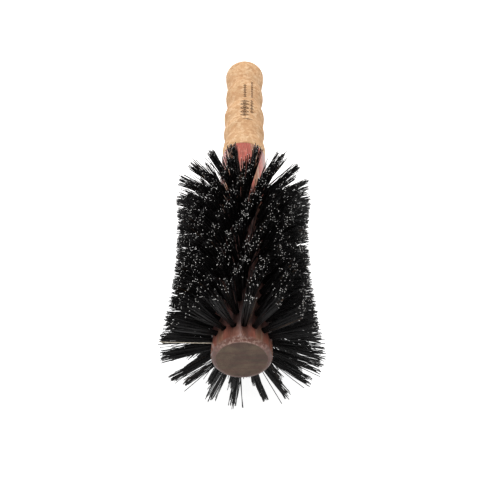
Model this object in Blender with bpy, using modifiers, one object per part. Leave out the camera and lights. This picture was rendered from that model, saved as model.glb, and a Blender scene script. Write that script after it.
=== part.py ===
"""Round barrel hair brush, lying on its bristle tips.

A turned barrel of laminated wood is drilled for 18 swirled rows of bristle tufts, 14 to a row.
The tips stand furthest out at the two ends of the rows and lower between them. The barrel's
tenon is glued into a cork grip with shallow finger bumps. Stations are distances along the
brush from the barrel's flat end, which faces -Y; angles run round the axis from straight up
towards +X. The origin is under the middle of the brush, on the surface that it lies on.
"""

import math

import bmesh
import bpy
from mathutils import Matrix, Vector

# Whole brush
LENGTH = 0.2707
TIP_RADIUS = 0.0405
TIP_DIP = 0.0036  # how much nearer the axis the tips are at the middle of a row
DIP_POWER = 2.5
CLEARANCE = 0.0003

# Barrel, neck and tenon
BARREL_RADIUS = 0.0148
END_BEVEL = 0.0023
NECK_START = 0.1192
NECK_END = 0.1622
NECK_END_RADIUS = 0.0137
TENON_RADIUS = 0.007
TENON_END = 0.2442
TENON_CHAMFER = 0.001
BARREL_FACETS = 36

# Tuft layout
ROWS = 18
TUFTS_PER_ROW = 14
FIRST_TUFT = 0.0092
LAST_TUFT = 0.1172
TWIST = math.radians(630)  # radians per metre of barrel
TWIST_STATION = 0.0582  # where row 1 stands at ROW_PHASE
ROW_PHASE = math.radians(-4.5)
END_LEAN = math.radians(10)

# One tuft: its hole, the shank in it, and the spread of its bristles
HOLE_RADIUS = 0.0016
HOLE_SIDES = 6
HOLE_BOTTOM_RADIUS = 0.0105
DRILL_TOP_RADIUS = 0.0173
SHANK_HALF_WIDTH = 0.0009
SHANK_TOP_RADIUS = 0.0152
MEETING_DEPTH = 0.004  # from the tips down to where neighbouring tufts meet
MEETING_HALF_WIDTH = 0.0032
TIP_HALF_WIDTH = 0.0035
ROW_END = 0.3  # how far a row's tips reach past its end tufts, as a share of the tufts' pitch

# Cork grip: (station, radius) at each waist and crest, then a low domed end
GRIP_FRONT_RADIUS = 0.0136
GRIP_WAVES = (
    (0.1702, 0.0136),
    (0.1832, 0.0123),
    (0.1902, 0.0133),
    (0.1992, 0.01255),
    (0.2092, 0.01345),
    (0.2222, 0.0116),
    (0.2357, 0.01295),
    (0.2467, 0.01215),
    (0.2647, 0.0136),
)
POINTS_PER_WAVE = 3
DOME_POINTS = 5
GRIP_FACETS = 32

PITCH = (LAST_TUFT - FIRST_TUFT) / (TUFTS_PER_ROW - 1)
# Half width of a row at the bottom of its shanks, at their top, where its tufts meet, and at
# the tips
LEVEL_HALF_WIDTHS = (SHANK_HALF_WIDTH, SHANK_HALF_WIDTH, MEETING_HALF_WIDTH, TIP_HALF_WIDTH)


def clear_scene():
    for item in list(bpy.data.objects):
        bpy.data.objects.remove(item, do_unlink=True)


def collection(name):
    made = bpy.data.collections.new(name)
    bpy.context.scene.collection.children.link(made)
    return made


def material(name, color, roughness):
    made = bpy.data.materials.new(name)
    made.use_nodes = True
    shader = made.node_tree.nodes["Principled BSDF"]
    shader.inputs["Base Color"].default_value = (*color, 1.0)
    shader.inputs["Roughness"].default_value = roughness
    return made


def mesh_object(name, mesh, group, finish=None):
    made = bpy.data.objects.new(name, mesh)
    group.objects.link(made)
    if finish:
        mesh.materials.append(finish)
    return made


def place(station, radius, angle):
    """The point at this station, distance from the axis and angle round it."""
    return Vector(
        (
            radius * math.sin(angle),
            station - LENGTH / 2,
            TIP_RADIUS + radius * math.cos(angle),
        )
    )


def row_angle(row, station):
    return ROW_PHASE + row * math.tau / ROWS + TWIST * (station - TWIST_STATION)


def tuft_station(tuft):
    """Where tuft number 0, 1, 2 ... leaves the barrel; a fraction lies between two tufts."""
    return FIRST_TUFT + tuft * PITCH


def across(tuft):
    """A tuft's place in its row, from -1 at the first tuft to 1 at the last."""
    return 2 * tuft / (TUFTS_PER_ROW - 1) - 1


def lean(tuft):
    """A tuft's tilt from square to the axis, towards the nearer end of the barrel."""
    return END_LEAN * across(tuft) * abs(across(tuft))


def level_radius(level, tuft):
    """How far from the axis a level of a row is at this tuft: see LEVEL_HALF_WIDTHS."""
    tips = TIP_RADIUS - TIP_DIP * max(0.0, 1 - abs(across(tuft)) ** DIP_POWER)
    return (HOLE_BOTTOM_RADIUS + CLEARANCE, SHANK_TOP_RADIUS, tips - MEETING_DEPTH, tips)[level]


def on_tuft(row, tuft, radius, sideways=0.0):
    """The point of a tuft's centre line at this radius, moved sideways round the barrel."""
    station = tuft_station(tuft)
    angle = row_angle(row, station) + sideways / radius
    return place(station + math.tan(lean(tuft)) * (radius - BARREL_RADIUS), radius, angle)


def turned(name, profile, facets, group, finish):
    """A solid of revolution from (station, radius) points, from the barrel's end to the grip's."""
    bm = bmesh.new()
    points = [bm.verts.new((radius, 0, LENGTH / 2 - station)) for station, radius in profile]
    for start, end in zip(points, points[1:]):
        bm.edges.new((start, end))
    mesh = bpy.data.meshes.new(name)
    bm.to_mesh(mesh)
    bm.free()
    made = mesh_object(name, mesh, group, finish)
    made.location = (0, 0, TIP_RADIUS)
    made.rotation_euler = (math.radians(90), 0, 0)
    screw = made.modifiers.new("turn", "SCREW")
    screw.steps = facets
    screw.render_steps = facets
    screw.use_merge_vertices = True
    screw.merge_threshold = 0.00001
    screw.use_smooth_shade = True
    return made


def arc(centre, radii, start, end, points):
    """Points of an elliptical arc between two angles, as (station, radius)."""
    steps = [start + (end - start) * i / points for i in range(points + 1)]
    return [
        (centre[0] + radii[0] * math.cos(step), centre[1] + radii[1] * math.sin(step))
        for step in steps
    ]


def barrel_profile():
    bevel = arc(
        (END_BEVEL, BARREL_RADIUS - END_BEVEL), (END_BEVEL, END_BEVEL), math.pi, math.pi / 2, 4
    )
    return [
        (0, 0),
        *bevel,
        (NECK_START, BARREL_RADIUS),
        (NECK_END, NECK_END_RADIUS),
        (NECK_END, TENON_RADIUS),
        (TENON_END - TENON_CHAMFER, TENON_RADIUS),
        (TENON_END, TENON_RADIUS - TENON_CHAMFER),
        (TENON_END, 0),
    ]


def drills(group):
    """The cutter for every tuft hole, each along its own tuft."""
    bm = bmesh.new()
    for row in range(ROWS):
        for tuft in range(TUFTS_PER_ROW):
            bottom = on_tuft(row, tuft, HOLE_BOTTOM_RADIUS)
            top = on_tuft(row, tuft, DRILL_TOP_RADIUS)
            aim = (top - bottom).to_track_quat("Z", "Y").to_matrix().to_4x4()
            bmesh.ops.create_cone(
                bm,
                cap_ends=True,
                segments=HOLE_SIDES,
                radius1=HOLE_RADIUS,
                radius2=HOLE_RADIUS,
                depth=(top - bottom).length,
                matrix=Matrix.Translation((bottom + top) / 2) @ aim,
            )
    mesh = bpy.data.meshes.new("tuft_drills")
    bm.to_mesh(mesh)
    bm.free()
    made = mesh_object("tuft_drills", mesh, group)
    made.hide_render = True
    made.display_type = "WIRE"
    return made


def barrel(group, cutter_group, finish):
    made = turned("barrel", barrel_profile(), BARREL_FACETS, group, finish)
    drill = made.modifiers.new("drill", "BOOLEAN")
    drill.operation = "DIFFERENCE"
    drill.solver = "EXACT"
    drill.object = drills(cutter_group)
    return made


def grip_profile():
    front = NECK_END + CLEARANCE
    bore = TENON_RADIUS + CLEARANCE
    bore_end = TENON_END + CLEARANCE
    outer = [(front, GRIP_FRONT_RADIUS)]
    for (start, low), (end, high) in zip(GRIP_WAVES, GRIP_WAVES[1:]):
        for i in range(POINTS_PER_WAVE):
            ease = (1 - math.cos(math.pi * i / POINTS_PER_WAVE)) / 2
            outer.append((start + (end - start) * i / POINTS_PER_WAVE, low + (high - low) * ease))
    crest, radius = GRIP_WAVES[-1]
    dome = arc((crest, 0), (LENGTH - crest, radius), math.pi / 2, 0, DOME_POINTS)
    return [(bore_end, 0), (bore_end, bore), (front, bore), *outer, *dome[:-1], (LENGTH, 0)]


def comb_bar(bm):
    """A bar with one cell for each tuft, between the meeting and tip levels."""
    bmesh.ops.create_cube(bm, size=1)
    bmesh.ops.scale(bm, vec=(TUFTS_PER_ROW, 1, 1), verts=bm.verts)
    middle = (TUFTS_PER_ROW / 2 - 0.5, 0, 2.5)
    bmesh.ops.translate(bm, vec=middle, verts=bm.verts)
    long_edges = [e for e in bm.edges if abs(e.verts[0].co.x - e.verts[1].co.x) > 0.5]
    bmesh.ops.subdivide_edges(bm, edges=long_edges, cuts=TUFTS_PER_ROW - 1, use_grid_fill=True)
    return [f for f in bm.faces if f.normal.z < -0.5]


def bristle_row(row, group, finish):
    """One row of tufts whose spread tips meet, so that the row is one comb-shaped solid.

    It is first made straight, with x as the tuft's number, y across and z as the level of
    LEVEL_HALF_WIDTHS, and then every vertex is put in its place round the barrel.
    """
    bm = bmesh.new()
    faces = comb_bar(bm)
    for level in (1, 0):
        faces = bmesh.ops.extrude_discrete_faces(bm, faces=faces)["faces"]
        for face in faces:
            tuft = round(face.calc_center_median().x)
            for vert in face.verts:
                side = math.copysign(SHANK_HALF_WIDTH / PITCH, vert.co.x - tuft)
                vert.co = (tuft + side, vert.co.y, level)
    for vert in bm.verts:
        level = round(vert.co.z)
        along = min(max(vert.co.x, -ROW_END), TUFTS_PER_ROW - 1 + ROW_END)
        # y runs backwards round the barrel, which keeps the faces pointing out
        sideways = math.copysign(LEVEL_HALF_WIDTHS[level], -vert.co.y)
        vert.co = on_tuft(row, along, level_radius(level, along), sideways)
    name = f"bristle_row_{row + 1:02d}"
    mesh = bpy.data.meshes.new(name)
    bm.to_mesh(mesh)
    bm.free()
    return mesh_object(name, mesh, group, finish)


def main():
    clear_scene()
    parts = collection("round_barrel_brush")
    cutters = collection("cutters")
    wood = material("stained_laminate", (0.33, 0.14, 0.10), 0.35)
    cork = material("cork", (0.72, 0.50, 0.30), 0.85)
    bristle = material("black_bristle", (0.02, 0.02, 0.021), 0.45)
    barrel(parts, cutters, wood)
    turned("cork_grip", grip_profile(), GRIP_FACETS, parts, cork)
    for row in range(ROWS):
        bristle_row(row, parts, bristle)


main()
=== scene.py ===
"""Looks of a round barrel hair brush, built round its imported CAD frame.

The barrel and the cork grip are turned again with finer facets, and every bristle row becomes
14 tufts of separate bristles. Lengths are in metres; stations are distances along the brush
from the barrel's flat end, and angles run round the axis from straight up towards +X.
"""

import math

import bmesh
import bpy
import numpy as np
from mathutils import Matrix, Vector


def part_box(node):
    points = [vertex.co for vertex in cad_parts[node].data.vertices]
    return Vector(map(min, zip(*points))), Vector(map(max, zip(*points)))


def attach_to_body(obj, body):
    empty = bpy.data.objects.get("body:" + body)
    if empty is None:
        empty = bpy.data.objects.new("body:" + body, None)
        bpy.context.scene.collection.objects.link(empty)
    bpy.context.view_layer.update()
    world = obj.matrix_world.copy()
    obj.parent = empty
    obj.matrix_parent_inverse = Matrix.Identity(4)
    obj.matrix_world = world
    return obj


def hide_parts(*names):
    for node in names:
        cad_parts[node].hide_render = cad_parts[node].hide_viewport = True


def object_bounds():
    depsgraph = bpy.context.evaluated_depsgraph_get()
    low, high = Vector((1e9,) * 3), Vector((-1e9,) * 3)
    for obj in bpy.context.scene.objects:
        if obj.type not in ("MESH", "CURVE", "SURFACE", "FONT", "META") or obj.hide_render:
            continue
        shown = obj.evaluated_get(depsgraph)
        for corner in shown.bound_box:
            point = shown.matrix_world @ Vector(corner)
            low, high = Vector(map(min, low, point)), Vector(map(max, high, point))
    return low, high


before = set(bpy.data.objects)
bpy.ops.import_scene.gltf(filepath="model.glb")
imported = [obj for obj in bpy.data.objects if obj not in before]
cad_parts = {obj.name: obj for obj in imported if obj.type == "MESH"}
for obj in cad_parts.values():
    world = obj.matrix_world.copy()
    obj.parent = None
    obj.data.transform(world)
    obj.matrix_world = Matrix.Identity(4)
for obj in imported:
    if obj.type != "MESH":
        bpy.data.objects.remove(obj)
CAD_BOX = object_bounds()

# The brush's frame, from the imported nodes
BARREL_LOW, BARREL_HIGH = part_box("barrel")
END_Y = BARREL_LOW.y
BARREL_RADIUS = (BARREL_HIGH.x - BARREL_LOW.x) / 2
AXIS_Z = (BARREL_HIGH.z + BARREL_LOW.z) / 2
TIP_RADIUS = AXIS_Z - CAD_BOX[0].z
LENGTH = CAD_BOX[1].y - CAD_BOX[0].y

CLEARANCE = 0.0003  # between the barrel's tenon or shoulder and the grip

# Barrel
END_BEVEL = 0.0023
NECK_START = 0.1192
NECK_END = 0.1622
NECK_END_RADIUS = 0.0137
TENON_RADIUS = 0.007
NECK_CHAMFER = 0.0003
TENON_END = 0.2442
TENON_CHAMFER = 0.001
BARREL_FACETS = 120
HOLE_RADIUS = 0.0016
HOLE_SIDES = 12
HOLE_BOTTOM_RADIUS = 0.0105
DRILL_OVERSHOOT = 0.0025

# Tuft layout
ROWS = 18
TUFTS_PER_ROW = 14
FIRST_TUFT = 0.0092
LAST_TUFT = 0.1172
TWIST = math.radians(630)
TWIST_STATION = 0.0582
ROW_PHASE = math.radians(-4.5)
END_LEAN = math.radians(10)

# Bristles
STRANDS = 40
END_STRANDS = 32
STRAND_SIDES = 5
STRAND_LEVELS = np.array([0.0, 0.25, 0.5, 0.75, 0.992, 1.0])
STRAND_ROOT_RADIUS = 0.0002
STRAND_TIP_RADIUS = 0.00019
ROOT_RADIUS = 0.0128
ROOT_SPREAD = 0.0013
TIP_DIP = 0.0036  # how much shorter the bristles stand at the middle of a row
DIP_POWER = 2.5
LENGTH_SPREAD = 0.0017
SPREAD = (0.85, 1.15)  # how wide a tuft opens, as a share of the two widths below
END_SPREAD = (0.6, 1.1)
UNDERSIDE_SPREAD = 0.6  # the tufts under the flat end stand tighter
TIP_SPREAD_ALONG = 0.0036
TIP_SPREAD_ACROSS = 0.0029
TIP_WANDER = 0.0011
FORK = (0.0004, 0.0018)  # how far a tuft's two legs part at the tips, either side
STRAY_SHARE, STRAY = 0.09, 0.0026  # bristles that stand away from their tuft
SHORT_SHARE, SHORT = 0.06, 0.004  # bristles cut short
TIP_CLEARANCE = 0.00025  # between the longest bristle and the outside of the CAD row
TUFT_SHIFT = 0.0011  # how far a tuft's tips move together along the brush
TUFT_TURN = 0.035  # and round it, in radians
BOW = 0.00035  # how far the middle of a bristle bends out
# share of bristles whose tips are painted pale as glints
PAINTED_GLINT_TIP_SHARE = 0.42
BROWN_SHARE = 0.02
GOLDEN_ANGLE = math.pi * (3 - math.sqrt(5))

# The one long pale bristle: its row, its root (station, angle) and its tip (station, radius, angle)
PALE_ROW = 16
PALE_ANGLE = math.radians(-74.4)
PALE_ROOT = (0.0074, PALE_ANGLE)
PALE_TIP = (0.0017, TIP_RADIUS - 0.0002, PALE_ANGLE)

# Cork grip
GRIP_FRONT_RADIUS = 0.0136
GRIP_WAVES = (
    (0.1702, 0.0136),
    (0.1832, 0.0123),
    (0.1902, 0.0133),
    (0.1992, 0.01255),
    (0.2092, 0.01345),
    (0.2222, 0.0116),
    (0.2357, 0.01295),
    (0.2467, 0.01215),
    (0.2647, 0.0136),
)
GRIP_SIDES = 208
GRIP_STEP = 0.0003
RELIEF_WAVES, WAVE_DEPTH = 24, 0.000009
PITS = 1300

# Plies: the stack repeats, and leans so that a coral ply runs along the top of the neck
PLY_STACK = 0.0095
PLY_TILT = math.radians(-5)
PLY_PHASE = 0.495
CORAL = (0.50, 0.11, 0.08)
TAN = (0.42, 0.21, 0.12)
ROSE = (0.30, 0.11, 0.09)
PALE = (0.52, 0.33, 0.24)
UMBER = (0.17, 0.07, 0.05)
PLY_COLORS = (
    (0.0, ROSE),
    (0.08, ROSE),
    (0.1, UMBER),
    (0.18, UMBER),
    (0.2, CORAL),
    (0.55, CORAL),
    (0.57, PALE),
    (0.67, PALE),
    (0.69, TAN),
    (0.83, TAN),
    (0.85, CORAL),
    (1.0, CORAL),
)

# Cork: (share, colour) of its granules
CORK_COLORS = (
    (0.0, (0.41, 0.235, 0.117)),
    (0.25, (0.52, 0.325, 0.178)),
    (0.6, (0.60, 0.40, 0.235)),
    (1.0, (0.67, 0.475, 0.30)),
)

# The ornament: (line's x, half width, start, end, pitch, fill) of each run of lozenges
MARKS = (
    (0.0004, 0.0030, 0.1938, 0.2138, 0.0040, 1.1),
    (0.0051, 0.0011, 0.1992, 0.2152, 0.0032, 1.1),
    (0.0005, 0.0011, 0.2192, 0.2342, 0.0025, 1.1),
    (0.0053, 0.0008, 0.2202, 0.2400, 0.0022, 1.1),
    (0.0026, 0.0038, 0.1893, 0.1909, 0.0016, 1.0),
)

# Studio
FLOOR_REACH = 20
FLOOR_Z = -0.0001  # just under the surface that the brush lies on
CAMERA_SENSOR = 36
CAMERA_LENS = 55.44
CAMERA_TILT = math.radians(48)  # from straight down


# ---------------------------------------------------------------- geometry


def place(station, radius, angle):
    """Points from their stations, distances from the axis and angles round it."""
    return np.stack(
        np.broadcast_arrays(
            radius * np.sin(angle), END_Y + station, AXIS_Z + radius * np.cos(angle)
        ),
        axis=-1,
    )


def row_angle(row, station):
    return ROW_PHASE + row * math.tau / ROWS + TWIST * (station - TWIST_STATION)


def tuft_station(tuft):
    return FIRST_TUFT + tuft * (LAST_TUFT - FIRST_TUFT) / (TUFTS_PER_ROW - 1)


def place_in_row(tuft):
    """From -1 at the row's first tuft to 1 at its last."""
    return 2 * tuft / (TUFTS_PER_ROW - 1) - 1


def tuft_lean(tuft):
    return END_LEAN * place_in_row(tuft) * abs(place_in_row(tuft))


def add_mesh(name, verts, faces, materials, indices=None):
    mesh = bpy.data.meshes.new(name)
    mesh.from_pydata([tuple(v) for v in verts], [], faces)
    for finish in materials:
        mesh.materials.append(finish)
    if indices is not None:
        mesh.polygons.foreach_set("material_index", indices)
    mesh.polygons.foreach_set("use_smooth", [True] * len(mesh.polygons))
    mesh.update()
    made = bpy.data.objects.new(name, mesh)
    bpy.context.scene.collection.objects.link(made)
    return made


def lathe(profile, sides, radial=None):
    """Vertices and faces of a closed solid turned from (station, radius) points.

    The profile starts and ends on the axis; radial may give an array of changes to the radius,
    one row for each profile point between the two on the axis.
    """
    ring = profile[1:-1]
    angles = np.arange(sides) * math.tau / sides
    stations = np.array([p[0] for p in ring])[:, None]
    radii = np.array([p[1] for p in ring])[:, None] + (0 if radial is None else radial)
    verts = place(stations, radii, angles[None, :]).reshape(-1, 3)
    count = len(ring)
    ends = place(np.array([profile[0][0], profile[-1][0]]), 0.0, 0.0)
    verts = np.concatenate([verts, ends])
    start, end = count * sides, count * sides + 1
    faces = []
    for j in range(sides):
        k = (j + 1) % sides
        faces.append((start, k, j))
        faces += [
            (i * sides + j, i * sides + k, (i + 1) * sides + k, (i + 1) * sides + j)
            for i in range(count - 1)
        ]
        last = (count - 1) * sides
        faces.append((last + j, last + k, end))
    return verts, faces


def arc(centre, radii, start, end, points):
    steps = np.linspace(start, end, points + 1)
    return [
        (centre[0] + radii[0] * math.cos(a), centre[1] + radii[1] * math.sin(a)) for a in steps
    ]


# ---------------------------------------------------------------- materials


class Finish:
    """A material and short calls for building its nodes."""

    def __init__(self, name, **settings):
        self.material = bpy.data.materials.new(name)
        self.material.use_nodes = True
        self.tree = self.material.node_tree
        self.shader = self.tree.nodes["Principled BSDF"]
        self.where = self.node("ShaderNodeTexCoord").outputs["Object"]
        for name, value in settings.items():
            self.shader.inputs[name.replace("_", " ")].default_value = value

    def node(self, kind, sockets=None, **settings):
        made = self.tree.nodes.new(kind)
        for name, value in settings.items():
            setattr(made, name, value)
        for name, value in (sockets or {}).items():
            self.plug(made.inputs[name], value)
        return made

    def plug(self, socket, value):
        if isinstance(value, bpy.types.NodeSocket):
            self.tree.links.new(value, socket)
        else:
            socket.default_value = value

    def math(self, operation, a, b=0.0, c=0.0):
        sockets = {0: a, 1: b, 2: c}
        return self.node("ShaderNodeMath", sockets, operation=operation).outputs[0]

    def vector_math(self, operation, sockets):
        return self.node("ShaderNodeVectorMath", sockets, operation=operation).outputs[0]

    def split(self, vector):
        return self.node("ShaderNodeSeparateXYZ", {0: vector}).outputs

    def station(self, y):
        return self.math("SUBTRACT", y, END_Y)

    def height(self, z):
        """Height above the brush's axis."""
        return self.math("SUBTRACT", z, AXIS_Z)

    def reach(self):
        """Distance from the brush's axis."""
        x, y, z = self.split(self.where)
        height = self.height(z)
        squares = self.math("MULTIPLY_ADD", x, x, self.math("MULTIPLY", height, height))
        return self.math("SQRT", squares)

    def noise(self, scale, detail=3.0, where=None, roughness=0.55):
        sockets = {
            "Vector": where or self.where,
            "Scale": scale,
            "Detail": detail,
            "Roughness": roughness,
        }
        return self.node("ShaderNodeTexNoise", sockets).outputs["Fac"]

    def voronoi(self, scale, where=None, feature="F1", randomness=1.0):
        sockets = {"Vector": where or self.where, "Scale": scale, "Randomness": randomness}
        return self.node("ShaderNodeTexVoronoi", sockets, feature=feature)

    def stretch(self, factors, where=None):
        return self.vector_math("MULTIPLY", {0: where or self.where, 1: factors})

    def warp(self, scale, amount, where=None):
        """Coordinates shifted about by noise of this scale, by up to the amount."""
        where = where or self.where
        sockets = {"Vector": where, "Scale": scale, "Detail": 2.0}
        shift = self.node("ShaderNodeTexNoise", sockets).outputs["Color"]
        shift = self.vector_math("SUBTRACT", {0: shift, 1: (0.5, 0.5, 0.5)})
        shift = self.vector_math("SCALE", {0: shift, 3: 2 * amount})
        return self.vector_math("ADD", {0: where, 1: shift})

    def ramp(self, value, stops, interpolation="LINEAR"):
        made = self.node("ShaderNodeValToRGB", {"Fac": value})
        band = made.color_ramp
        band.interpolation = interpolation
        while len(band.elements) < len(stops):
            band.elements.new(0.5)
        for element, (position, color) in zip(band.elements, stops):
            element.position = position
            color = color if isinstance(color, tuple) else (color, color, color)
            element.color = (*color, 1.0)
        return made.outputs["Color"]

    def mix(self, share, a, b, blend="MIX"):
        made = self.node("ShaderNodeMix", data_type="RGBA", blend_type=blend)
        for socket, value in ((0, share), (6, a), (7, b)):
            value = (*value, 1.0) if isinstance(value, tuple) else value
            self.plug(made.inputs[socket], value)
        return made.outputs[2]

    def bump(self, height, distance, strength=1.0):
        sockets = {"Height": height, "Distance": distance, "Strength": strength}
        normal = self.node("ShaderNodeBump", sockets).outputs[0]
        self.plug(self.shader.inputs["Normal"], normal)

    def color(self, value):
        self.plug(self.shader.inputs["Base Color"], value)

    def roughness(self, value):
        self.plug(self.shader.inputs["Roughness"], value)


def laminated_wood():
    """Thin plies coloured with stain, under lacquer. The rounded edge is darker where its end grain
    shows, with painted shade on its lower side and a painted highlight on its top; painted shade
    darkens the wood among the tufts.
    """
    f = Finish("laminated_wood", Coat_Weight=0.2, Coat_Roughness=0.1, Specular_IOR_Level=0.25)
    x, y, z = f.split(f.warp(45, 0.0007))
    height = f.height(z)
    depth = f.math("MULTIPLY", height, math.cos(PLY_TILT))
    depth = f.math("MULTIPLY_ADD", x, math.sin(PLY_TILT), depth)
    turns = f.math("MULTIPLY", depth, 1 / PLY_STACK)
    turns = f.math("FRACT", f.math("ADD", turns, PLY_PHASE))
    plies = f.ramp(turns, PLY_COLORS)
    grain = f.noise(1, 6.0, f.stretch((2600, 90, 2600)), 0.7)
    fleck = f.noise(1, 3.0, f.stretch((1100, 260, 1100)))
    color = f.mix(f.ramp(grain, ((0.35, 1.0), (0.62, 0.0))), plies, (0.16, 0.05, 0.035))
    color = f.mix(f.ramp(fleck, ((0.55, 0.0), (0.72, 0.4))), color, (0.70, 0.38, 0.27))
    station = f.station(f.split(f.where)[1])
    along = f.math("MULTIPLY", station, 5)
    color = f.mix(f.ramp(along, ((0.48, 0.55), (0.6, 0.0))), color, (0.26, 0.125, 0.085))
    # Painted shade: the wood among the tufts is darkened almost to black, from near the flat end to
    # the neck.
    painted_shade_among_tufts = f.ramp(along, ((0.025, 0.0), (0.055, 0.9), (0.46, 0.9), (0.58, 0.0)))
    color = f.mix(painted_shade_among_tufts, color, (0.025, 0.012, 0.012))
    # The rounded end edge takes a darker tone where its end grain shows; painted shade makes it
    # darker still towards the bottom.
    rounding = f.ramp(f.math("MULTIPLY", station, 100), ((0.1, 0.8), (0.25, 0.0)))
    rise = f.math("MULTIPLY_ADD", height, 30, 0.5)
    rounding_tone_and_painted_shade = f.ramp(rise, ((0.5, (0.04, 0.02, 0.017)), (0.85, (0.16, 0.075, 0.058))))
    color = f.mix(rounding, color, rounding_tone_and_painted_shade)
    # Painted highlight: pale patchy specks along the top of the rounded edge.
    wear_and_painted_highlight = f.math("MULTIPLY", rounding, f.ramp(rise, ((0.65, 0.0), (0.9, 1.0))))
    wear_and_painted_highlight = f.math("MULTIPLY", wear_and_painted_highlight, f.ramp(f.noise(650, 3.0), ((0.48, 0.0), (0.58, 1.0))))
    color = f.mix(wear_and_painted_highlight, color, (0.42, 0.27, 0.22))
    f.color(color)
    f.roughness(f.ramp(grain, ((0.3, 0.42), (0.7, 0.3))))
    f.bump(grain, 0.00003, 0.5)
    return f.material


def end_grain():
    """The barrel's cut end: dark, open-pored, with faint plies, the marks of the lathe and a patchy
    painted highlight round its edge.
    """
    f = Finish("end_grain", IOR=1.45, Specular_IOR_Level=0.3)
    rings = f.math("SINE", f.math("MULTIPLY", f.reach(), 9000))
    blotches = f.noise(130, 4.0)
    pores = f.noise(2600, 3.0)
    color = f.ramp(blotches, ((0.36, (0.055, 0.032, 0.019)), (0.64, (0.12, 0.082, 0.052))))
    plies = f.noise(1, 2.0, f.stretch((60, 1, 700)))
    color = f.mix(f.ramp(plies, ((0.4, 0.0), (0.65, 0.5))), color, (0.085, 0.032, 0.026))
    color = f.mix(f.ramp(pores, ((0.3, 0.7), (0.45, 0.0))), color, (0.02, 0.01, 0.006))
    # Painted highlight: a patchy pale line round the outer edge of the flat end.
    painted_highlight_rim = f.ramp(f.math("MULTIPLY", f.reach(), 75), ((0.915, 0.0), (0.935, 0.3)))
    wear_and_painted_highlight = f.ramp(f.noise(330, 2.0), ((0.46, 0.0), (0.58, 1.0)))
    color = f.mix(f.math("MULTIPLY", painted_highlight_rim, wear_and_painted_highlight), color, (0.34, 0.27, 0.25))
    f.color(color)
    f.roughness(f.ramp(blotches, ((0.3, 0.5), (0.7, 0.65))))
    f.bump(f.math("MULTIPLY_ADD", rings, 0.15, pores), 0.00006, 0.5)
    return f.material


def ink_mask(f):
    """Where the printed ornament's ink lies on the grip: 1 in its shapes and 0 elsewhere."""
    x, y, z = f.split(f.warp(1400, 0.00012))
    station = f.station(y)

    def between(value, low, high):
        above, below = f.math("GREATER_THAN", value, low), f.math("LESS_THAN", value, high)
        return f.math("MULTIPLY", above, below)

    def share(middle, half):
        """How far x is from a line along the grip, in half widths."""
        return f.math("DIVIDE", f.math("ABSOLUTE", f.math("SUBTRACT", x, middle)), half)

    def phase(pitch, start):
        """Distance along the grip to the middle of the nearest repeat, from 0 to 1."""
        turn = f.math("FRACT", f.math("DIVIDE", f.math("SUBTRACT", station, start), pitch))
        return f.math("MULTIPLY", f.math("ABSOLUTE", f.math("SUBTRACT", turn, 0.5)), 2.0)

    ink = 0.0
    for middle, half, start, end, pitch, fill in MARKS:
        lozenge = f.math("ADD", share(middle, half), phase(pitch, start))
        core = f.math("LESS_THAN", lozenge, 0.5 * fill)
        shape = f.math("MAXIMUM", core, between(lozenge, 0.64 * fill, fill))
        ink = f.math("MAXIMUM", ink, f.math("MULTIPLY", shape, between(station, start, end)))
    top = f.math("GREATER_THAN", z, AXIS_Z)
    wear_and_painted_highlight = f.ramp(f.noise(1500, 2.0), ((0.34, 0.6), (0.46, 1.0)))
    return f.math("MULTIPLY", f.math("MULTIPLY", ink, top), wear_and_painted_highlight)


def cork():
    """Pressed cork granules with darker seams, pores, a printed ornament and painted shade in the
    waists.
    """
    f = Finish("cork", Roughness=0.85, IOR=1.4, Specular_IOR_Level=0.2)
    about = f.warp(300, 0.0012)
    granules = f.voronoi(380, about)
    tone = f.split(granules.outputs["Color"])[0]
    color = f.ramp(tone, CORK_COLORS)
    small = f.split(f.voronoi(900, about).outputs["Color"])[1]
    dark = f.ramp(small, ((0.0, 0.0), (0.8, 0.0), (1.0, 0.55)))
    color = f.mix(dark, color, (0.36, 0.18, 0.085))
    seams = f.voronoi(380, about, "DISTANCE_TO_EDGE").outputs["Distance"]
    seam = f.ramp(seams, ((0.0, 0.75), (0.045, 0.3), (0.12, 0.0)))
    color = f.mix(seam, color, (0.46, 0.25, 0.115))
    cloud = f.noise(130, 3.0)
    color = f.mix(f.ramp(cloud, ((0.35, 0.0), (0.7, 0.3))), color, (0.66, 0.36, 0.18))
    pores = f.noise(2300, 2.0)
    pore = f.ramp(pores, ((0.26, 0.8), (0.36, 0.0)))
    color = f.mix(pore, color, (0.3, 0.15, 0.07))
    # Painted shade: the grip is darkened where it narrows into its waists.
    painted_shade_in_waists = f.ramp(f.math("MULTIPLY", f.reach(), 60), ((0.71, 0.3), (0.78, 0.0)))
    color = f.mix(painted_shade_in_waists, color, (0.34, 0.18, 0.085))
    color = f.mix(f.math("MULTIPLY", ink_mask(f), 0.93), color, (0.05, 0.022, 0.01))
    f.color(color)
    f.roughness(f.ramp(tone, ((0.0, 0.72), (1.0, 0.9))))
    height = f.math("ADD", f.math("MINIMUM", seams, 0.15), f.math("MULTIPLY", pores, 0.25))
    f.bump(height, 0.0006, 0.6)
    return f.material


def bristle(name, dark, light, roughness, scale=900):
    """Fine lengthwise colour changes and a slightly uneven gloss."""
    f = Finish(name, IOR=1.45, Specular_IOR_Level=0.25)
    shade = f.ramp(f.noise(scale, 3.0), ((0.38, 0.0), (0.62, 1.0)))
    f.color(f.mix(shade, dark, light))
    gloss = f.noise(scale * 3, 2.0)
    f.roughness(f.ramp(gloss, ((0.3, roughness - 0.08), (0.7, roughness + 0.08))))
    f.bump(f.noise(6000, 2.0), 0.00002, 0.4)
    return f.material


# ---------------------------------------------------------------- pieces


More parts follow.
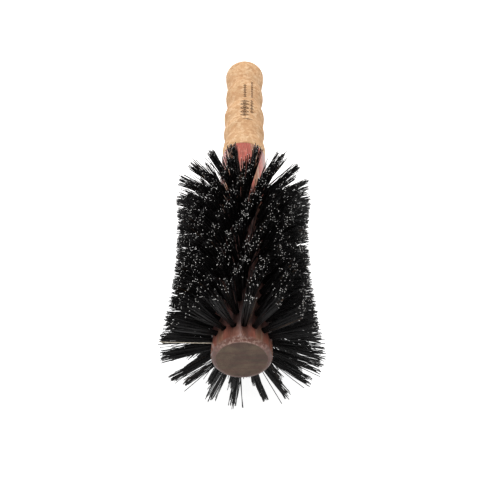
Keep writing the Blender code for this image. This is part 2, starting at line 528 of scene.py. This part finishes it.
def drills():
    """One mesh with the cutter of every tuft hole, each along its own tuft."""
    bm = bmesh.new()
    for row in range(ROWS):
        for tuft in range(TUFTS_PER_ROW):
            station = tuft_station(tuft)
            radii = np.array([HOLE_BOTTOM_RADIUS, BARREL_RADIUS + DRILL_OVERSHOOT])
            along = station + math.tan(tuft_lean(tuft)) * (radii - BARREL_RADIUS)
            bottom, top = map(Vector, place(along, radii, row_angle(row, station)))
            aim = (top - bottom).to_track_quat("Z", "Y").to_matrix().to_4x4()
            bmesh.ops.create_cone(
                bm,
                cap_ends=True,
                segments=HOLE_SIDES,
                radius1=HOLE_RADIUS,
                radius2=HOLE_RADIUS,
                depth=(top - bottom).length,
                matrix=Matrix.Translation((bottom + top) / 2) @ aim,
            )
    mesh = bpy.data.meshes.new("drills")
    bm.to_mesh(mesh)
    bm.free()
    made = bpy.data.objects.new("drills", mesh)
    bpy.context.scene.collection.objects.link(made)
    return made


def turned_barrel(finishes):
    bevel = arc(
        (END_BEVEL, BARREL_RADIUS - END_BEVEL), (END_BEVEL, END_BEVEL), math.pi, math.pi / 2, 10
    )
    flat = [(0.0, r) for r in np.linspace(0.003, BARREL_RADIUS - END_BEVEL, 5)[:-1]]
    side = [(s, BARREL_RADIUS) for s in np.arange(0.005, NECK_START, 0.004)]
    neck = []
    for t in np.linspace(0, 1, 13):
        ease = t * t * (3 - 2 * t)
        radius = BARREL_RADIUS + (NECK_END_RADIUS - BARREL_RADIUS) * (0.35 * t + 0.65 * ease)
        neck.append((NECK_START + (NECK_END - NECK_START) * t, radius))
    neck[-1] = (NECK_END - NECK_CHAMFER, NECK_END_RADIUS)
    tenon = [
        (NECK_END, NECK_END_RADIUS - NECK_CHAMFER),
        (NECK_END, TENON_RADIUS),
        (TENON_END - TENON_CHAMFER, TENON_RADIUS),
        (TENON_END, TENON_RADIUS - TENON_CHAMFER),
    ]
    profile = [(0.0, 0.0), *flat, *bevel, *side, *neck, *tenon, (TENON_END, 0.0)]
    verts, faces = lathe(profile, BARREL_FACETS)
    made = add_mesh("turned_barrel", verts, faces, finishes)
    cutter = drills()
    drill = made.modifiers.new("drill", "BOOLEAN")
    drill.operation = "DIFFERENCE"
    drill.solver = "EXACT"
    drill.object = cutter
    evaluated = made.evaluated_get(bpy.context.evaluated_depsgraph_get())
    mesh = bpy.data.meshes.new_from_object(evaluated)
    made.modifiers.clear()
    made.data = mesh
    bpy.data.objects.remove(cutter, do_unlink=True)
    for polygon in mesh.polygons:
        polygon.use_smooth = True
        polygon.material_index = int(polygon.center.y < END_Y + 0.00001)
    mesh.set_sharp_from_angle(angle=math.radians(35))
    return made


def grip_profile():
    """The grip's outside from its front edge to the middle of its domed end, in even steps."""
    front = NECK_END + CLEARANCE
    rounding = 0.0005
    centre = (front + rounding, GRIP_FRONT_RADIUS - rounding)
    points = arc(centre, (rounding, rounding), math.pi, math.pi / 2, 4)
    first, last = GRIP_WAVES[0][0], GRIP_WAVES[-1][0]
    points += [(s, GRIP_FRONT_RADIUS) for s in np.arange(front + 0.0012, first, GRIP_STEP)]
    for s in np.arange(first, last - GRIP_STEP / 2, GRIP_STEP):
        for (start, low), (end, high) in zip(GRIP_WAVES, GRIP_WAVES[1:]):
            if start <= s < end:
                ease = (1 - math.cos(math.pi * (s - start) / (end - start))) / 2
                points.append((s, low + (high - low) * ease))
    crest, radius = GRIP_WAVES[-1]
    points += arc((crest, 0), (LENGTH - crest, radius), math.pi / 2, math.radians(2), 36)
    return points


def cork_relief(outside):
    """Changes of radius: soft waviness, and small pits where granules have broken out."""
    rng = np.random.default_rng(41)
    angles = np.arange(GRIP_SIDES) * math.tau / GRIP_SIDES
    stations = np.array([p[0] for p in outside])
    radii = np.array([p[1] for p in outside])
    lengths = np.concatenate([[0], np.cumsum(np.hypot(np.diff(stations), np.diff(radii)))])
    relief = np.zeros((len(outside), GRIP_SIDES))
    for _ in range(RELIEF_WAVES):
        waves, lobes = rng.uniform(150, 900), rng.integers(2, 14)
        turn = rng.uniform(0, math.tau, 2)
        lengthwise = np.sin(waves * lengths[:, None] + turn[0])
        relief += WAVE_DEPTH * lengthwise * np.sin(lobes * angles + turn[1])
    for _ in range(PITS):
        middle, angle = rng.uniform(0, lengths[-1]), rng.uniform(0, math.tau)
        long, wide = rng.uniform(0.0003, 0.0011), rng.uniform(0.0003, 0.0008)
        depth = rng.uniform(0.00005, 0.00028)
        rows = np.abs(lengths - middle) < long
        if not rows.any():
            continue
        across = (angles - angle + math.pi) % math.tau - math.pi
        distance = ((lengths[rows] - middle)[:, None] / long) ** 2
        distance = distance + (across * radii[rows][:, None] / wide) ** 2
        relief[rows] -= depth * np.clip(1 - distance, 0, None)
    return np.clip(relief - 0.00003, -0.0004, 0.00002)


def turned_grip(finish):
    outside = grip_profile()
    bore, bore_end = TENON_RADIUS + CLEARANCE, TENON_END + CLEARANCE
    inside = [(bore_end, bore), (NECK_END + CLEARANCE, bore)]
    relief = np.concatenate([np.zeros((len(inside), GRIP_SIDES)), cork_relief(outside)])
    profile = [(bore_end, 0.0), *inside, *outside, (LENGTH, 0.0)]
    verts, faces = lathe(profile, GRIP_SIDES, relief)
    made = add_mesh("turned_cork_grip", verts, faces, [finish])
    made.data.set_sharp_from_angle(angle=math.radians(60))
    return made


def strand_paths(row, tuft, rng):
    """Root and tip of each bristle of one tuft, as (station, radius, angle) arrays.

    A tuft is folded round its anchor, so its bristles leave the hole as two legs that part.
    """
    station = tuft_station(tuft)
    angle = row_angle(row, station)
    lean = math.tan(tuft_lean(tuft))
    from_end = min(tuft, TUFTS_PER_ROW - 1 - tuft)
    count = END_STRANDS if tuft == 0 else STRANDS
    spread = rng.uniform(*END_SPREAD) if from_end == 0 else rng.uniform(*SPREAD)
    if tuft < 2 and math.cos(angle) < -0.3:
        spread *= UNDERSIDE_SPREAD
    index = np.arange(count)
    disc = np.sqrt((index + 0.5) / count)
    turn = index * GOLDEN_ANGLE + rng.uniform(0, math.tau)
    leg = np.where(index % 2, 1, -1)
    fork_way = rng.uniform(0, math.tau)
    fork = leg * np.array([[math.cos(fork_way)], [math.sin(fork_way)]])
    cloud = disc * np.array([np.cos(turn), np.sin(turn)])
    root = ROOT_SPREAD * (0.7 * cloud + 0.3 * fork)
    root_station = station + lean * (ROOT_RADIUS - BARREL_RADIUS) + root[0]
    root_angle = angle + root[1] / ROOT_RADIUS
    dip = TIP_DIP * (1 - abs(place_in_row(tuft)) ** DIP_POWER)
    tip_radius = TIP_RADIUS - TIP_CLEARANCE - dip - np.abs(rng.normal(0, LENGTH_SPREAD, count))
    short = rng.random(count) < SHORT_SHARE
    tip_radius = np.where(short, tip_radius - rng.uniform(0, SHORT, count), tip_radius)
    wander = rng.normal(0, 1, (2, count)) * TIP_WANDER * min(1.0, spread)
    wander = wander + (rng.random(count) < STRAY_SHARE) * rng.normal(0, STRAY, (2, count))
    tip = np.array([[TIP_SPREAD_ALONG], [TIP_SPREAD_ACROSS]]) * spread * cloud
    tip = tip + rng.uniform(*FORK) * spread * fork + wander
    middle = station + lean * (TIP_RADIUS - BARREL_RADIUS) + rng.normal(0, TUFT_SHIFT)
    tip_station = middle + tip[0]
    tip_angle = angle + rng.normal(0, TUFT_TURN) + tip[1] / TIP_RADIUS
    return (root_station, root_angle), (tip_station, tip_radius, tip_angle)


def strand_mesh(roots, tips, rng):
    """Bristles from their root and tip points: vertices, side faces, and faces at each end."""
    count, levels = len(roots), len(STRAND_LEVELS)
    way = tips - roots
    way /= np.linalg.norm(way, axis=1, keepdims=True)
    side = np.cross(way, [0.0, 1.0, 0.0])
    side /= np.linalg.norm(side, axis=1, keepdims=True)
    other = np.cross(way, side)
    bow = rng.normal(0, BOW, (2, count))
    share = STRAND_LEVELS[None, :, None]
    line = roots[:, None] * (1 - share) + tips[:, None] * share
    bend = 4 * share * (1 - share)
    line = line + bend * (bow[0][:, None] * side + bow[1][:, None] * other)[:, None]
    thick = STRAND_ROOT_RADIUS + (STRAND_TIP_RADIUS - STRAND_ROOT_RADIUS) * STRAND_LEVELS
    thick = thick[None, :] * rng.uniform(0.85, 1.15, count)[:, None]
    turn = np.arange(STRAND_SIDES) * math.tau / STRAND_SIDES
    ring = np.cos(turn)[:, None] * side[:, None] + np.sin(turn)[:, None] * other[:, None]
    verts = line[:, :, None] + thick[:, :, None, None] * ring[:, None]
    corner = np.arange(STRAND_SIDES)
    following = (corner + 1) % STRAND_SIDES
    base = (np.arange(count) * levels * STRAND_SIDES)[:, None, None]
    step = (np.arange(levels - 1) * STRAND_SIDES)[None, :, None]
    low, low_next = base + step + corner, base + step + following
    quads = np.stack([low, low_next, low_next + STRAND_SIDES, low + STRAND_SIDES], -1)
    bottoms = base[:, 0] + corner[::-1]
    tops = base[:, 0] + (levels - 1) * STRAND_SIDES + corner
    return verts.reshape(-1, 3), quads, bottoms, tops


def bristle_row(row, finishes):
    """One row's tufts of separate bristles: black, a few brown, some with pale tips painted as
    glints.
    """
    rng = np.random.default_rng(900 + row)
    roots, tips = [], []
    for tuft in range(TUFTS_PER_ROW):
        root, tip = strand_paths(row, tuft, rng)
        roots.append(place(root[0], ROOT_RADIUS, root[1]))
        tips.append(place(*tip))
    if row == PALE_ROW:
        roots.append(place(PALE_ROOT[0], ROOT_RADIUS, PALE_ROOT[1])[None])
        tips.append(place(*PALE_TIP)[None])
    roots, tips = np.concatenate(roots), np.concatenate(tips)
    verts, quads, bottoms, tops = strand_mesh(roots, tips, rng)
    count, levels = len(roots), len(STRAND_LEVELS)
    body = np.where(rng.random(count) < BROWN_SHARE, 2, 0)
    # Painted highlight: a share of the bristles get pale tips that stand in for glints.
    tip = np.where(rng.random(count) < PAINTED_GLINT_TIP_SHARE, 1, body)
    if row == PALE_ROW:
        body[-1] = tip[-1] = 3
    shares = np.repeat(body[:, None], levels - 1, 1)
    shares[:, -1] = tip
    indices = np.concatenate([np.repeat(shares, STRAND_SIDES, 1).ravel(), body, tip])
    faces = quads.reshape(-1, 4).tolist() + bottoms.tolist() + tops.tolist()
    name = f"bristles_row_{row + 1:02d}"
    made = add_mesh(name, verts, faces, finishes, indices)
    made.data.set_sharp_from_angle(angle=math.radians(80))
    return made


def attach(piece, node):
    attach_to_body(piece, "root")
    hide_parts(node)


def build():
    attach(turned_barrel([laminated_wood(), end_grain()]), "barrel")
    attach(turned_grip(cork()), "cork_grip")
    finishes = [
        bristle("black_bristle", (0.003, 0.003, 0.0034), (0.010, 0.009, 0.009), 0.42),
        # painted highlight: pale bristle tips standing in for glints
        bristle("painted_glint_tip", (0.12, 0.115, 0.11), (1.0, 0.98, 0.94), 0.4, 5000),
        bristle("brown_bristle", (0.015, 0.009, 0.006), (0.07, 0.038, 0.018), 0.4),
        bristle("pale_bristle", (0.70, 0.62, 0.48), (0.88, 0.80, 0.66), 0.4),
    ]
    for row in range(ROWS):
        piece = bristle_row(row, finishes)
        attach(piece, f"bristle_row_{row + 1:02d}")


# ---------------------------------------------------------------- studio


def floor():
    f = Finish("pale_floor", Roughness=0.9)
    f.color(f.mix(f.noise(6, 3.0), (0.5, 0.5, 0.5), (0.53, 0.53, 0.53)))
    f.shader.inputs["Emission Color"].default_value = (1, 1, 1, 1)
    f.shader.inputs["Emission Strength"].default_value = 0.9
    corners = ((-1, -1), (1, -1), (1, 1), (-1, 1))
    verts = [(FLOOR_REACH * x, FLOOR_REACH * y, FLOOR_Z) for x, y in corners]
    add_mesh("floor", verts, [(0, 1, 2, 3)], [f.material])


def area_light(name, place_at, target, size, power):
    light = bpy.data.lights.new(name, "AREA")
    light.shape = "RECTANGLE"
    light.size, light.size_y = size
    light.energy = power
    made = bpy.data.objects.new(name, light)
    bpy.context.scene.collection.objects.link(made)
    made.location = place_at
    made.rotation_euler = (Vector(target) - Vector(place_at)).to_track_quat("-Z", "Y").to_euler()


def studio():
    floor()
    scene = bpy.context.scene
    scene.view_settings.view_transform = "Standard"
    world = bpy.data.worlds.new("studio")
    scene.world = world
    world.use_nodes = True
    world.node_tree.nodes["Background"].inputs["Color"].default_value = (1, 1, 1, 1)
    world.node_tree.nodes["Background"].inputs["Strength"].default_value = 0.5
    area_light("overhead", (-0.04, 0.3, 0.85), (0, 0, 0.04), (0.45, 0.35), 7.0)
    area_light("left_fill", (-0.8, -0.1, 0.5), (0, 0, 0.04), (0.5, 0.5), 1.2)
    camera = bpy.data.cameras.new("camera")
    camera.sensor_width = CAMERA_SENSOR
    camera.lens = CAMERA_LENS
    camera.clip_start = 0.01
    made = bpy.data.objects.new("camera", camera)
    scene.collection.objects.link(made)
    made.location = (0.0039, END_Y - 0.2365, AXIS_Z + 0.2830)
    made.rotation_euler = (CAMERA_TILT, 0, 0)
    scene.camera = made


build()
studio()
